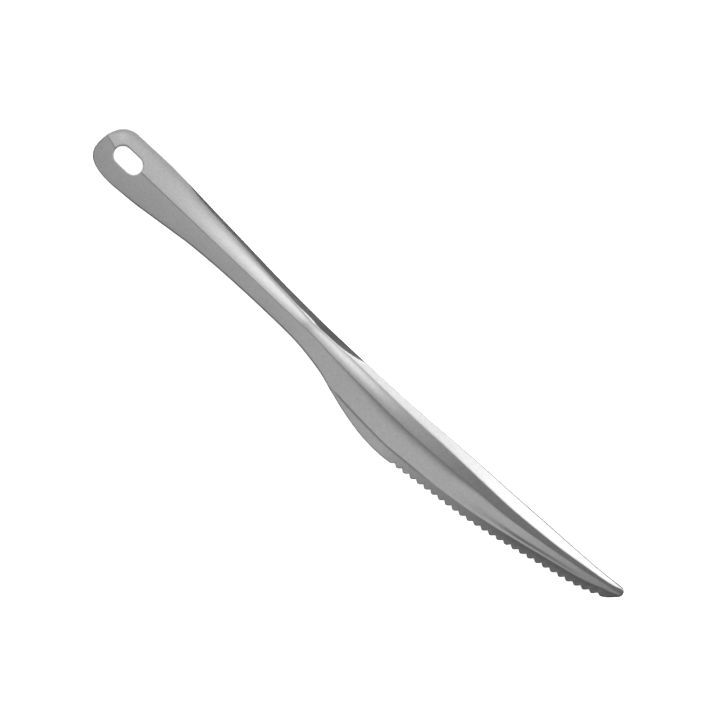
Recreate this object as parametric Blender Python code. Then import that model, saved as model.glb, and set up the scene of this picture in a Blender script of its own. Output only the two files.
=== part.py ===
"""A serrated clay knife pressed from one blank of sheet steel.

The tool lies along X, butt end at -X and tip at +X, with its spine towards +Y and its finished
face up. The handle is a shallow roof whose ridge, the crease, carries on into the blade. The back
edge is folded down from the handle to the tip, and the cutting edge turns down towards the tip.
The origin is under the middle of the tool, on the surface that it rests on.
"""

import bmesh
import bpy
import numpy as np
from mathutils import Vector

MM = 0.001
UP = Vector((0, 0, 1))

# Lengths along the tool, in millimetres, one after another from the butt end.
HANDLE_LENGTH = 88.0
SHOULDER_LENGTH = 33.5
EDGE_LENGTH = 81.7

# Reach of the outline from the crease line of the handle.
BUTT_EDGE_REACH = 8.43
BUTT_SPINE_REACH = 7.6
WAIST_EDGE_REACH = 4.4
NECK_SPINE_REACH = 4.84
HEEL_REACH = 12.0
TIP_RISE = 7.0
TIP_RADIUS = 1.75

# The crease: where it runs out at the butt end, along the handle and at the heel.
CREASE_END = 1.2
CREASE_PLACE = 0.1
CREASE_AT_HEEL = -1.27

# The rounded butt end: its lowest point in the width, and how far each corner reaches along.
BUTT_POINT = -1.8
EDGE_CORNER_LENGTH = 11.5
EDGE_CORNER_ROUNDNESS = 2.3
SPINE_CORNER_LENGTH = 7.5
SPINE_CORNER_ROUNDNESS = 2.0
END_FLAT = 0.03

# The hanging slot.
SLOT_SETBACK = 5.0
SLOT_LENGTH = 10.0
SLOT_WIDTH = 5.6

# The serration along the cutting edge.
TEETH_SETBACK = 6.6
TOOTH_PITCH = 2.57
TOOTH_DEPTH = 0.9
TOOTH_COUNT = 27
TOOTH_ROUNDING = 0.35

# The sheet. Its hollow face lies square under the finished one, and straight under it at the two
# narrow ends, which are finer than the folds.
SHEET = 0.8
PLAIN_END = 1.3
PLAIN_END_FADE = 5.0

# The folded strips. A strip takes no more than a share of the room to the crease, and the crease
# keeps a share of the width clear on each side.
NARROWEST_STRIP = 0.5
MOST_STRIP_SHARE = 0.65
LEAST_CREASE_SHARE = 0.2
BACK_WALL_AT_NECK = 1.6
BACK_WALL_WIDEST = 3.65
EDGE_STRIP_WIDTH = 2.85
STRIP_AT_TIP = 0.08

# Heights of the crease over the flat of the blade.
CREASE_AT_BUTT = -1.9
CREASE_AT_NECK = 0.9

# Columns of the mesh.
CORNER_COLUMNS = 6
SLOT_CORNER_COLUMNS = 5
COLUMN_SPACING = 4.0
COLUMNS_PER_TOOTH = 6
TIP_COLUMNS = 6

BUTT = 0.0
NECK = BUTT + HANDLE_LENGTH
HEEL = NECK + SHOULDER_LENGTH
NOSE = HEEL + EDGE_LENGTH
TIP_CENTRE = NOSE - TIP_RADIUS
SLOT_START = BUTT + SLOT_SETBACK
SLOT_END = SLOT_START + SLOT_LENGTH
SLOT_RADIUS = SLOT_WIDTH / 2
TEETH_START = HEEL + TEETH_SETBACK


def between(start, end, share):
    """The value at a share of the way from start to end."""
    return start + (end - start) * share


def smooth_line(points):
    """A function that follows points along the tool smoothly, with no overshoot."""
    xs, ys = (np.array(values, dtype=float) for values in zip(*points))
    steps = np.diff(xs)
    rises = np.diff(ys) / steps
    slopes = np.zeros_like(ys)
    for i in range(1, len(xs) - 1):
        before, after = rises[i - 1], rises[i]
        if before * after > 0:
            mean = (before * steps[i] + after * steps[i - 1]) / (steps[i - 1] + steps[i])
            limit = 3 * min(abs(before), abs(after))
            slopes[i] = np.sign(mean) * min(abs(mean), limit)
    slopes[0], slopes[-1] = rises[0], rises[-1]

    def value(x):
        x = np.clip(x, xs[0], xs[-1])
        i = np.clip(np.searchsorted(xs, x, side="right") - 1, 0, len(steps) - 1)
        t = (x - xs[i]) / steps[i]
        hermite = (2 * t**3 - 3 * t**2 + 1) * ys[i] + (3 * t**2 - 2 * t**3) * ys[i + 1]
        tangents = (t**3 - 2 * t**2 + t) * slopes[i] + (t**3 - t**2) * slopes[i + 1]
        return hermite + tangents * steps[i]

    return value


def drawn_line(keys, shapes):
    """A smooth line through key points, shaped in each span by points given as shares of it."""
    points = [keys[0]]
    for start, end, shape in zip(keys, keys[1:], shapes):
        for along, across in shape:
            points.append((between(start[0], end[0], along), between(start[1], end[1], across)))
        points.append(end)
    return smooth_line(points)


edge_line = drawn_line(
    (
        (BUTT + EDGE_CORNER_LENGTH, -BUTT_EDGE_REACH),
        (between(BUTT, NECK, 0.8), -WAIST_EDGE_REACH),
        (HEEL, -HEEL_REACH),
        (TIP_CENTRE + TIP_RADIUS * 0.7, TIP_RISE - TIP_RADIUS * 0.71),
    ),
    (
        ((0.14, 0.14), (0.31, 0.44), (0.48, 0.74), (0.65, 0.90), (0.83, 0.98)),
        ((0.21, 0.024), (0.35, 0.126), (0.47, 0.28), (0.58, 0.505), (0.70, 0.726), (0.84, 0.92)),
        ((0.10, 0.04), (0.25, 0.12), (0.38, 0.19), (0.50, 0.285), (0.62, 0.405),
         (0.74, 0.535), (0.86, 0.665), (0.935, 0.79), (0.97, 0.86)),
    ),
)

spine_line = drawn_line(
    (
        (BUTT + SPINE_CORNER_LENGTH, BUTT_SPINE_REACH - 0.02),
        (between(BUTT, NECK, 0.22), BUTT_SPINE_REACH + 0.1),
        (NECK, NECK_SPINE_REACH),
        (TIP_CENTRE, TIP_RISE + TIP_RADIUS),
    ),
    (
        ((0.5, 0.5),),
        ((0.15, 0.16), (0.30, 0.36), (0.45, 0.54), (0.60, 0.73), (0.72, 0.86), (0.85, 0.95)),
        ((0.09, 0.01), (0.22, 0.055), (0.31, 0.13), (0.41, 0.27), (0.52, 0.405), (0.63, 0.50),
         (0.73, 0.61), (0.84, 0.72), (0.91, 0.80), (0.98, 0.95)),
    ),
)

crease_line = drawn_line(
    ((BUTT, CREASE_END), (SLOT_START, CREASE_PLACE), (SLOT_END, CREASE_PLACE),
     (HEEL, CREASE_AT_HEEL), (NOSE, TIP_RISE)),
    (
        ((0.5, 0.45),),
        (),
        ((0.5, 0.07), (0.66, 0.07), (0.74, 0.46), (0.83, 0.76)),
        ((0.14, 0.03), (0.25, 0.08), (0.37, 0.155), (0.50, 0.215), (0.62, 0.36), (0.74, 0.54),
         (0.86, 0.745), (0.92, 0.82)),
    ),
)

back_wall_width = drawn_line(
    (
        (BUTT, NARROWEST_STRIP),
        (between(BUTT, NECK, 0.58), NARROWEST_STRIP),
        (NECK, BACK_WALL_AT_NECK),
        (between(HEEL, NOSE, 0.5), BACK_WALL_WIDEST),
        (NOSE, STRIP_AT_TIP),
    ),
    (
        (),
        ((0.4, 0.35), (0.75, 0.92)),
        ((0.2, 0.2), (0.34, 0.34), (0.60, 0.58), (0.86, 0.93)),
        ((0.25, 0.07), (0.48, 0.225), (0.72, 0.49), (0.82, 0.57), (0.92, 0.72)),
    ),
)

edge_strip_width = drawn_line(
    (
        (BUTT, NARROWEST_STRIP),
        (between(NECK, HEEL, 0.3), NARROWEST_STRIP),
        (HEEL, EDGE_STRIP_WIDTH + 0.4),
        (between(HEEL, NOSE, 0.5), EDGE_STRIP_WIDTH),
        (between(HEEL, NOSE, 0.93), EDGE_STRIP_WIDTH),
        (NOSE, STRIP_AT_TIP),
    ),
    ((), ((0.22, 0.3), (0.6, 0.95)), ((0.5, 1.3),), ((0.8, 0.5),), ((0.6, 0.2),)),
)

crease_height = smooth_line(
    ((BUTT, CREASE_AT_BUTT), (between(BUTT, NECK, 0.5), CREASE_AT_BUTT / 2),
     (NECK, CREASE_AT_NECK), (between(NECK, HEEL, 0.75), 0.0), (HEEL, 0.0), (NOSE, 0.0))
)

# How far each band leans, in degrees: a band that leans falls away from the crease.
edge_flank_lean = smooth_line(
    ((BUTT, 3.0), (between(BUTT, NECK, 0.8), 3.0), (between(NECK, HEEL, 0.6), 0.0), (NOSE, 0.0))
)
spine_flank_lean = smooth_line(
    ((BUTT, 3.0), (between(BUTT, NECK, 0.25), 5.0), (between(BUTT, NECK, 0.5), 8.0),
     (between(BUTT, NECK, 0.97), 14.0), (between(NECK, HEEL, 0.45), 10.0), (HEEL, 0.0),
     (between(HEEL, NOSE, 0.28), -11.0), (between(HEEL, NOSE, 0.5), -14.0), (NOSE, -16.0))
)
back_wall_lean = smooth_line(
    ((BUTT, 4.0), (between(BUTT, NECK, 0.3), 8.0), (between(BUTT, NECK, 0.57), 58.0),
     (NECK, 62.0), (between(NECK, HEEL, 0.5), 44.0), (NOSE, 42.0))
)
edge_strip_lean = smooth_line(
    ((BUTT, 3.0), (between(BUTT, NECK, 0.8), 3.0), (between(NECK, HEEL, 0.6), 1.0), (HEEL, 1.0),
     (between(HEEL, NOSE, 0.25), 8.0), (between(HEEL, NOSE, 0.62), 20.0), (NOSE, 24.0))
)


def rounded_corner(x, length, roundness):
    """Share of the full reach that a corner has at x, from 0 at its start to 1 at its end."""
    left = np.clip(1 - (x - BUTT) / length, 0, 1)
    return (1 - left**roundness) ** (1 / roundness)


def nose_half_width(x):
    """Half the width of the round tip at x."""
    return np.sqrt(np.maximum(TIP_RADIUS**2 - (x - TIP_CENTRE) ** 2, 0))


def notch_depth(x):
    """How far the serration cuts in at x: round teeth between sharp notches."""
    place = (x - TEETH_START) / TOOTH_PITCH
    if place < -0.5 or place > TOOTH_COUNT + 0.5:
        return 0.0
    from_tip = abs(2 * (place % 1.0) - 1)
    rounded = np.hypot(from_tip, TOOTH_ROUNDING) - TOOTH_ROUNDING
    return TOOTH_DEPTH * rounded / (np.hypot(1, TOOTH_ROUNDING) - TOOTH_ROUNDING)


def edge_rim(x):
    """The outline on the cutting edge's side."""
    if x < BUTT + EDGE_CORNER_LENGTH:
        reach = BUTT_EDGE_REACH + BUTT_POINT
        return BUTT_POINT - reach * rounded_corner(x, EDGE_CORNER_LENGTH, EDGE_CORNER_ROUNDNESS)
    if x > TIP_CENTRE + TIP_RADIUS * 0.7:
        return TIP_RISE - nose_half_width(x)
    return edge_line(x) + notch_depth(x)


def spine_rim(x):
    """The outline on the spine's side."""
    if x < BUTT + SPINE_CORNER_LENGTH:
        reach = BUTT_SPINE_REACH - BUTT_POINT
        return BUTT_POINT + reach * rounded_corner(x, SPINE_CORNER_LENGTH, SPINE_CORNER_ROUNDNESS)
    if x > TIP_CENTRE:
        return TIP_RISE + nose_half_width(x)
    return spine_line(x)


def slot_half_width(x):
    """Half the width of the hanging slot at x, and 0 beyond it."""
    if x <= SLOT_START or x >= SLOT_END:
        return 0.0
    from_end = min(x - SLOT_START, SLOT_END - x, SLOT_RADIUS)
    return np.sqrt(SLOT_RADIUS**2 - (SLOT_RADIUS - from_end) ** 2)


def face_height(x, y, edge_fold, spine_fold):
    """Height of the finished face over the flat of the blade."""
    crease = crease_line(x)
    height = crease_height(x)
    if y >= crease:
        height -= np.tan(np.radians(spine_flank_lean(x))) * (min(y, spine_fold) - crease)
        height -= np.tan(np.radians(back_wall_lean(x))) * max(y - spine_fold, 0)
    else:
        height -= np.tan(np.radians(edge_flank_lean(x))) * (crease - max(y, edge_fold))
        height -= np.tan(np.radians(edge_strip_lean(x))) * max(edge_fold - y, 0)
    return height


def round_spacing(start, end, count):
    """Columns that crowd towards start, as a round end needs."""
    turns = np.linspace(0, np.pi / 2, count + 1)
    return start + (end - start) * (1 - np.cos(turns))


def column_places():
    """Places of the mesh's columns along the tool."""
    columns = list(round_spacing(BUTT, SLOT_START, CORNER_COLUMNS))
    columns[0] = BUTT + END_FLAT
    columns += list(round_spacing(SLOT_START, SLOT_START + SLOT_RADIUS, SLOT_CORNER_COLUMNS))
    columns.append((SLOT_START + SLOT_END) / 2)
    columns += list(round_spacing(SLOT_END, SLOT_END - SLOT_RADIUS, SLOT_CORNER_COLUMNS))
    handle_end = TEETH_START - TOOTH_PITCH / 2
    count = round((handle_end - SLOT_END) / COLUMN_SPACING)
    columns += list(np.linspace(SLOT_END, handle_end, count + 1))
    teeth_end = TEETH_START + TOOTH_PITCH * (TOOTH_COUNT + 0.5)
    steps = (TOOTH_COUNT + 1) * COLUMNS_PER_TOOTH
    columns += list(np.linspace(handle_end, teeth_end, steps + 1))
    columns += list(np.linspace(teeth_end, TIP_CENTRE, 4))
    columns += list(round_spacing(NOSE, TIP_CENTRE, TIP_COLUMNS))
    columns = sorted(min(column, NOSE - END_FLAT) for column in columns)
    kept = columns[:1]
    for column in columns[1:]:
        if column - kept[-1] > 1e-4:
            kept.append(column)
    return kept


def column_rows(x):
    """Two runs of places across the tool at x, from each rim in to the crease or the slot."""
    edge, spine = edge_rim(x), spine_rim(x)
    tooth_tips = edge - notch_depth(x)
    inset = (spine - edge) * LEAST_CREASE_SHARE
    crease = min(max(crease_line(x), edge + inset), spine - inset)
    low = tooth_tips + min(edge_strip_width(x), (crease - tooth_tips) * MOST_STRIP_SHARE)
    high = spine - min(back_wall_width(x), (spine - crease) * MOST_STRIP_SHARE)
    inner_low = crease - slot_half_width(x)
    inner_high = crease + slot_half_width(x)
    low_run = [edge, low, between(low, inner_low, 0.5), inner_low]
    high_run = [inner_high, between(inner_high, high, 0.5), high, between(high, spine, 0.5), spine]
    heights = [[face_height(x, y, low, high) for y in run] for run in (low_run, high_run)]
    return zip((low_run, high_run), heights)


def add_runs(mesh):
    """Adds the finished face to mesh, as one grid on each side of the crease."""
    grids = ([], [])
    for x in column_places():
        for grid, (run, heights) in zip(grids, column_rows(x)):
            corners = [mesh.verts.new((x * MM, y * MM, z * MM)) for y, z in zip(run, heights)]
            grid.append(corners)
    for grid in grids:
        for left, right in zip(grid, grid[1:]):
            for i in range(len(left) - 1):
                mesh.faces.new((left[i], right[i], right[i + 1], left[i + 1]))
    bmesh.ops.remove_doubles(mesh, verts=mesh.verts, dist=1e-7)


def steel_material():
    """Satin sheet steel."""
    material = bpy.data.materials.new("satin_steel")
    material.use_nodes = True
    shader = material.node_tree.nodes["Principled BSDF"]
    shader.inputs["Base Color"].default_value = (0.62, 0.62, 0.62, 1)
    shader.inputs["Metallic"].default_value = 1.0
    shader.inputs["Roughness"].default_value = 0.34
    return material


def hollow_offset(corner):
    """From a point of the finished face to the one under it on the hollow face."""
    along = corner.co.x / MM
    from_end = min(along - BUTT, NOSE - along)
    square = min(max((from_end - PLAIN_END) / PLAIN_END_FADE, 0), 1)
    return UP.lerp(corner.normal, square).normalized() * -SHEET * MM


def add_thickness(mesh):
    """Turns the open finished face into a closed sheet."""
    mesh.normal_update()
    offsets = {corner.co.to_tuple(): hollow_offset(corner) for corner in mesh.verts}
    made = bmesh.ops.extrude_face_region(mesh, geom=mesh.faces[:], use_keep_orig=True)["geom"]
    hollow = [item for item in made if isinstance(item, bmesh.types.BMVert)]
    for corner in hollow:
        corner.co += offsets[corner.co.to_tuple()]
    bmesh.ops.recalc_face_normals(mesh, faces=mesh.faces)


def knife_body():
    """The whole pressed blank: handle, blade, back wall, teeth and slot."""
    mesh = bmesh.new()
    add_runs(mesh)
    add_thickness(mesh)
    rest_on_origin(mesh)
    data = bpy.data.meshes.new("knife_body")
    mesh.to_mesh(data)
    mesh.free()
    body = bpy.data.objects.new("knife_body", data)
    bpy.context.collection.objects.link(body)
    data.materials.append(steel_material())
    return body


def rest_on_origin(mesh):
    """Moves mesh so that its box stands on the origin, centred along and across."""
    points = np.array([corner.co for corner in mesh.verts])
    low, high = points.min(axis=0), points.max(axis=0)
    shift = Vector((-(low[0] + high[0]) / 2, -(low[1] + high[1]) / 2, -low[2]))
    bmesh.ops.translate(mesh, verts=mesh.verts, vec=shift)


def main():
    for old in list(bpy.data.objects):
        bpy.data.objects.remove(old)
    knife_body()


main()
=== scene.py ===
"""A serrated clay knife pressed from one blank of satin sheet steel, on a pale studio floor."""

import math

import bmesh
import bpy
import numpy as np
from bpy.props import FloatProperty, FloatVectorProperty, IntProperty, PointerProperty
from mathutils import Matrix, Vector, kdtree


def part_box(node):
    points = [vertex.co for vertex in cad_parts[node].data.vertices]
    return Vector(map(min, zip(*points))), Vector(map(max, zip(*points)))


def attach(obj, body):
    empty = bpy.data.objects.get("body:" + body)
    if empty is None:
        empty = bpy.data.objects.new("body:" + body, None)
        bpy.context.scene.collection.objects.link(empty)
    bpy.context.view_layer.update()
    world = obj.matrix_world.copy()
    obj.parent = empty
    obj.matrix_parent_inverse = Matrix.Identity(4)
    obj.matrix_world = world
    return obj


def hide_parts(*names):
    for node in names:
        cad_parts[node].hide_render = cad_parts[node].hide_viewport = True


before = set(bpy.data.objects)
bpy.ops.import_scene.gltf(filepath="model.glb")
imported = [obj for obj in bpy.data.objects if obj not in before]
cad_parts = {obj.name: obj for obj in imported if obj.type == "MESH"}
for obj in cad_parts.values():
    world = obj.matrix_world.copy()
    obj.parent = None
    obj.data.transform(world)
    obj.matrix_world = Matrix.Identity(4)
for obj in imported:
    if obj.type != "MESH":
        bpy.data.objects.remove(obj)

bl_info = {
    "name": "Pressed Clay Knife",
    "version": (1, 0, 0),
    "blender": (4, 5, 0),
    "location": "View3D > Sidebar > Clay Knife",
    "description": "Builds a serrated clay knife from one sheet of pressed steel, and its studio",
    "category": "Object",
}

MM = 0.001
NODE = "knife_body"
BLANK_LOW, BLANK_HIGH = (Vector(corner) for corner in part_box(NODE))
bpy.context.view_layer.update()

# Stations along the tool and reaches of its outline, in millimetres. They repeat the pressed
# blank's own layout, from the butt end, with the crease of the handle near zero. A corner is its
# length and its roundness. At the ends the crease stays a share of the width inside the rims,
# and a band takes no more than its share of the room beside it.
BUTT = 0.0
NECK = 88.0
HEEL = 121.5
NOSE = 203.2
TIP_RADIUS = 1.75
TIP_RISE = 7.0
TIP_CENTRE = NOSE - TIP_RADIUS
TIP_TURN = TIP_CENTRE + TIP_RADIUS * 0.7
BUTT_POINT = -1.8
BUTT_EDGE_REACH = 8.53
BUTT_SPINE_REACH = 7.67
EDGE_CORNER = (11.5, 2.65)
SPINE_CORNER = (7.5, 2.25)
END_FLAT = 0.004
END_INSET = 0.2
BAND_SHARE = 0.65
SLOT_START = 5.0
SLOT_END = 15.0
SLOT_RADIUS = 2.8
TEETH_START = HEEL + 6.6

# Rows of the mesh crowd at a rim, at a fold and at the crease, this far from it, and take no
# more than this share of a band.
RIM_ROWS = (0.0, 0.03, 0.08, 0.15, 0.24, 0.35, 0.48)
FOLD_ROWS = (0.0, 0.08, 0.2, 0.38)
WALL_ROWS = (0.0, 0.1, 0.25)
BEAD_ROWS = (0.0, 0.15, 0.35, 0.55, 0.8, 1.1, 1.5)
CREASE_ROWS = (0.0, 0.07, 0.16, 0.3, 0.55, 0.9)
CROWDED_SHARE = 0.8
END_COLUMNS = 22
SLOT_COLUMNS = 12
TOOTH_COLUMNS = 12
HANDLE_STEP = 1.25
PROFILE_STEPS = 500

# The hollow face lies straight under the finished one at the narrow ends.
PLAIN_END = 1.3
PLAIN_END_FADE = 5.0


# ---------------------------------------------------------------- lines along the tool

def between(start, end, share):
    """The value at a share of the way from start to end."""
    return start + (end - start) * share


def smooth_line(points):
    """A function that follows points along the tool smoothly, with no overshoot."""
    xs, ys = (np.array(values, dtype=float) for values in zip(*points))
    steps = np.diff(xs)
    rises = np.diff(ys) / steps
    slopes = np.zeros_like(ys)
    for i in range(1, len(xs) - 1):
        before, after = rises[i - 1], rises[i]
        if before * after > 0:
            mean = (before * steps[i] + after * steps[i - 1]) / (steps[i - 1] + steps[i])
            slopes[i] = np.sign(mean) * min(abs(mean), 3 * min(abs(before), abs(after)))
    slopes[0], slopes[-1] = rises[0], rises[-1]

    def value(x):
        x = np.clip(x, xs[0], xs[-1])
        i = np.clip(np.searchsorted(xs, x, side="right") - 1, 0, len(steps) - 1)
        t = (x - xs[i]) / steps[i]
        hermite = (2 * t**3 - 3 * t**2 + 1) * ys[i] + (3 * t**2 - 2 * t**3) * ys[i + 1]
        tangents = (t**3 - 2 * t**2 + t) * slopes[i] + (t**3 - t**2) * slopes[i + 1]
        return hermite + tangents * steps[i]

    return value


def drawn_line(keys, shapes):
    """A smooth line through key points, shaped in each span by points given as shares of it."""
    points = [keys[0]]
    for start, end, shape in zip(keys, keys[1:], shapes):
        for far, across in shape:
            points.append((between(start[0], end[0], far), between(start[1], end[1], across)))
        points.append(end)
    return smooth_line(points)


edge_line = drawn_line(
    (
        (EDGE_CORNER[0], -BUTT_EDGE_REACH),
        (between(BUTT, NECK, 0.8), -4.5),
        (HEEL, -12.0),
        (TIP_TURN, TIP_RISE - TIP_RADIUS * 0.71),
    ),
    (
        ((0.14, 0.14), (0.31, 0.44), (0.48, 0.74), (0.65, 0.90), (0.83, 0.98)),
        ((0.21, 0.024), (0.35, 0.126), (0.47, 0.28), (0.58, 0.505), (0.70, 0.726), (0.84, 0.92)),
        ((0.10, 0.038), (0.25, 0.116), (0.38, 0.185), (0.50, 0.278), (0.62, 0.395),
         (0.74, 0.518), (0.86, 0.648), (0.935, 0.772), (0.97, 0.862)),
    ),
)

spine_line = drawn_line(
    (
        (SPINE_CORNER[0], BUTT_SPINE_REACH - 0.02),
        (between(BUTT, NECK, 0.22), BUTT_SPINE_REACH + 0.1),
        (NECK, 4.84),
        (TIP_CENTRE, TIP_RISE + TIP_RADIUS),
    ),
    (
        ((0.5, 0.5),),
        ((0.15, 0.16), (0.30, 0.36), (0.45, 0.54), (0.60, 0.73), (0.72, 0.86), (0.85, 0.95)),
        ((0.09, 0.01), (0.22, 0.055), (0.31, 0.13), (0.41, 0.27), (0.52, 0.405), (0.63, 0.50),
         (0.73, 0.61), (0.84, 0.72), (0.91, 0.80), (0.98, 0.95)),
    ),
)

crease_line = drawn_line(
    ((BUTT, 1.2), (SLOT_START, 0.1), (SLOT_END, 0.1), (HEEL, -1.27), (NOSE, TIP_RISE)),
    (
        ((0.5, 0.45),),
        (),
        ((0.5, 0.07), (0.66, 0.07), (0.74, 0.46), (0.83, 0.76)),
        ((0.14, 0.03), (0.25, 0.08), (0.37, 0.155), (0.50, 0.215), (0.62, 0.36), (0.74, 0.54),
         (0.86, 0.745), (0.92, 0.87), (0.97, 0.95)),
    ),
)


def along(*points):
    """A smooth line through points whose places are millimetres from the butt end."""
    return smooth_line(points)


back_wall_width = drawn_line(
    (
        (BUTT, 0.1),
        (between(BUTT, NECK, 0.3), 0.2),
        (NECK, 1.95),
        (between(HEEL, NOSE, 0.5), 3.65),
        (NOSE, 0.08),
    ),
    (
        (),
        ((0.08, 0.3), (0.16, 0.42), (0.3, 0.47), (0.46, 0.5), (0.62, 0.68), (0.79, 0.87),
         (0.86, 1.0), (0.92, 1.12)),
        ((0.2, 0.08), (0.34, 0.19), (0.60, 0.46), (0.86, 0.9)),
        ((0.25, 0.07), (0.48, 0.225), (0.72, 0.49), (0.82, 0.57), (0.92, 0.72)),
    ),
)

edge_strip_width = drawn_line(
    (
        (BUTT, 0.5),
        (between(NECK, HEEL, 0.3), 0.5),
        (HEEL, 3.25),
        (between(HEEL, NOSE, 0.5), 2.85),
        (between(HEEL, NOSE, 0.93), 2.85),
        (NOSE, 0.08),
    ),
    (
        (),
        ((0.22, 0.3), (0.38, 0.55), (0.51, 0.73), (0.6, 0.84), (0.73, 0.94)),
        ((0.5, 1.3),),
        ((0.8, 0.5),),
        ((0.6, 0.2),),
    ),
)

crease_height = smooth_line(
    ((BUTT, -1.9), (between(BUTT, NECK, 0.5), -0.95), (NECK, 0.9),
     (between(NECK, HEEL, 0.75), 0.0), (HEEL, 0.0), (NOSE, 0.0))
)

# Lean of each band in degrees: more than 0 where the face falls away towards the spine's side.
# The edge's side of the crease: beside the crease, and how much more it leans at the fold.
edge_flank_lean = along(
    (BUTT, -3.0), (70, -2.4), (100, -0.5), (HEEL, 0), (160, -0.5), (176, -3), (187, -6),
    (NOSE, -11))
edge_flank_bow = along((BUTT, -2.2), (70, -1.5), (100, 0), (NOSE, 0))
# The spine's side of the crease: beside the crease, across the middle, and beside the fold.
crease_side_lean = along(
    (BUTT, 2.2), (25, 2.5), (45, 4), (65, 5), (78, 4), (82, -3), (85, 3), (88, 3), (98, 0),
    (110, -3), (HEEL, -4.5), (138, -8.5), (154, -12.5), (170, -14), (NOSE, -16))
spine_flank_lean = along(
    (BUTT, 3), (25, 4), (35, 6.2), (45, 9.2), (55, 11.5), (65, 14.5), (76, 14.5), (79.5, 13),
    (82, 8.5), (84.5, 13), (94, 13.2), (104, 10.5), (110, 7), (116, 2), (HEEL, -2), (130, -5),
    (138, -8), (146, -11), (154, -13), (166, -14), (NOSE, -16))
fold_side_lean = along(
    (BUTT, -1), (25, -1), (45, 2), (55, 0), (76, 0), (88, 3), (104, 4), (110, 1.5), (116, 0),
    (HEEL, -3), (130, -6), (138, -9.5), (146, -12), (154, -14), (166, -15), (NOSE, -18))
fold_side_width = along(
    (BUTT, 2.6), (30, 2.4), (55, 1.8), (70, 1.15), (88, 0.9), (110, 0.8), (HEEL, 0.6),
    (NOSE, 0.5))
# The back wall: its facet beside the fold, and the steep part beyond it.
facet_lean = along(
    (BUTT, 46), (84, 46), (95, 40), (130, 40), (146, 43), (154, 45), (170, 48), (NOSE, 48))
facet_width = along(
    (BUTT, 0), (75.5, 0), (78, 0.28), (82.5, 0.46), (84.5, 0.04), (90, 0.02), (95, 0.4),
    (99, 1.1), (104, 2.6), (NOSE, 6))
fold_half_width = along((BUTT, 0.07), (86, 0.08), (96, 0.22), (NOSE, 0.2))
STEEP_LEAN = 62.0
WALL_HALF_WIDTH = 0.1
# The strip along the cutting edge: beside its fold, and how much more it leans at the rim.
edge_strip_lean = along(
    (BUTT, -3), (70, -3), (100, -2), (HEEL, -1.5), (130, -5), (138, -8), (146, -10.5),
    (154, -13), (162, -17), (170, -21), (NOSE, -24))
edge_strip_bow = along((BUTT, 0), (HEEL, 0), (150, -1.5), (160, -4), (170, -7), (NOSE, -9))
EDGE_FOLD_HALF_WIDTH = 0.22

# Pressed lines: how far each one dips the lean in degrees, with its offset and its half width.
crease_dip = along(
    (BUTT, 0), (84, 0), (93, 2), (104, 5.5), (116, 9), (138, 9.5), (150, 8), (158, 5),
    (168, 1), (NOSE, 0))
crease_dip_width = along(
    (BUTT, 0.3), (93, 0.4), (104, 0.75), (110, 1.0), (117, 1.4), (130, 1.25), (138, 1.25),
    (146, 0.95), (154, 0.5), (NOSE, 0.3))
edge_fold_dip = along((BUTT, 0), (98, 0), (103, 11), (HEEL, 9), (134, 7), (142, 0), (NOSE, 0))
groove_dip = along(
    (BUTT, 0), (144, 0), (154, 2.5), (162, 9), (169, 24), (174, 22), (180, 16), (187, 8),
    (192, 0), (NOSE, 0))
groove_offset = along((BUTT, 1.7), (150, 1.7), (162, 1.4), (170, 1.05), (178, 0.95), (NOSE, 0.5))
groove_width = along((BUTT, 0.9), (154, 0.9), (162, 0.45), (168, 0.27), (NOSE, 0.24))
# The crease itself: where the two sides meet, the fine line in it, and the band beside it.
CREASE_HALF_WIDTH = 0.15
CREASE_LINE_WIDTH = 0.12
CREASE_LINE_DIP = 4.0
CREASE_DIP_FADE = 0.4
CREASE_SIDE_REACH = 2.4
# A faint bump in the corner beside the slot.
BUMP_PLACE = (4.0, 4.4)
BUMP_REACH = (1.6, 1.3)
BUMP_LEAN = 3.0

# Painted shade along the crease, folds, rim and steep wall: how dark each line is and how wide.
crease_shade = along(
    (BUTT, 1.1), (30, 1.0), (50, 0.6), (78, 0.6), (95, 0.8), (HEEL, 0.8), (138, 0.6),
    (154, 0.2), (NOSE, 0))
edge_fold_shade = along((BUTT, 0), (100, 0), (103, 1), (130, 0.9), (142, 0), (NOSE, 0))
spine_fold_shade = along(
    (BUTT, 0), (24, 0), (32, 1.5), (62, 1.5), (73, 0), (96, 0), (101, 0.8), (114, 0.8),
    (124, 0.2), (134, 0), (NOSE, 0))
spine_rim_shade = along((BUTT, 0), (97, 0), (104, 0.6), (192, 0.6), (197, 1.2), (NOSE, 1.2))
wall_shade = along(
    (BUTT, 0), (24, 0), (40, 0.3), (70, 0.4), (82, 0.8), (95, 0.6), (101, 0), (NOSE, 0))
SHADE_WIDTH = 0.2
SPINE_SHADE_WIDTH = 0.17
SPINE_SHADE_OFFSET = 0.06
RIM_SHADE_WIDTH = 0.14
NOSE_SHADE_WIDTH = 0.3
# Painted shade on the arc of the slot, towards the butt end and the spine.
SLOT_SHADE = 1.6
SLOT_SHADE_OFFSET = 0.08
SLOT_SHADE_WIDTH = 0.26
SLOT_SHADE_FADE = (0.4, 0.5)

# Width of the rounded rim on each side and around the slot, and how far in its wear reaches.
edge_roll = along(
    (BUTT, 0.3), (12, 0.36), (20, 0.5), (60, 0.48), (90, 0.42), (104, 0.25), (HEEL, 0.2),
    (190, 0.22), (NOSE, 0.45))
spine_roll = along(
    (BUTT, 0.16), (34, 0.12), (80, 0.16), (98, 0.2), (106, 0.36), (190, 0.4), (NOSE, 0.4))
SLOT_ROLL = 0.22
SLOT_MARGIN = 1.5
WEAR_REACH = 0.6

# Steps down the cut face, places tested along each cut edge, and the angle of a sharp edge.
CUT_SHARES = (0.15, 0.5, 0.85)
RIM_SAMPLES = 6
SHARP_ANGLE = 38.0


def slope(lean):
    """Rise over run of a lean in degrees."""
    return np.tan(np.radians(lean))


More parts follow.
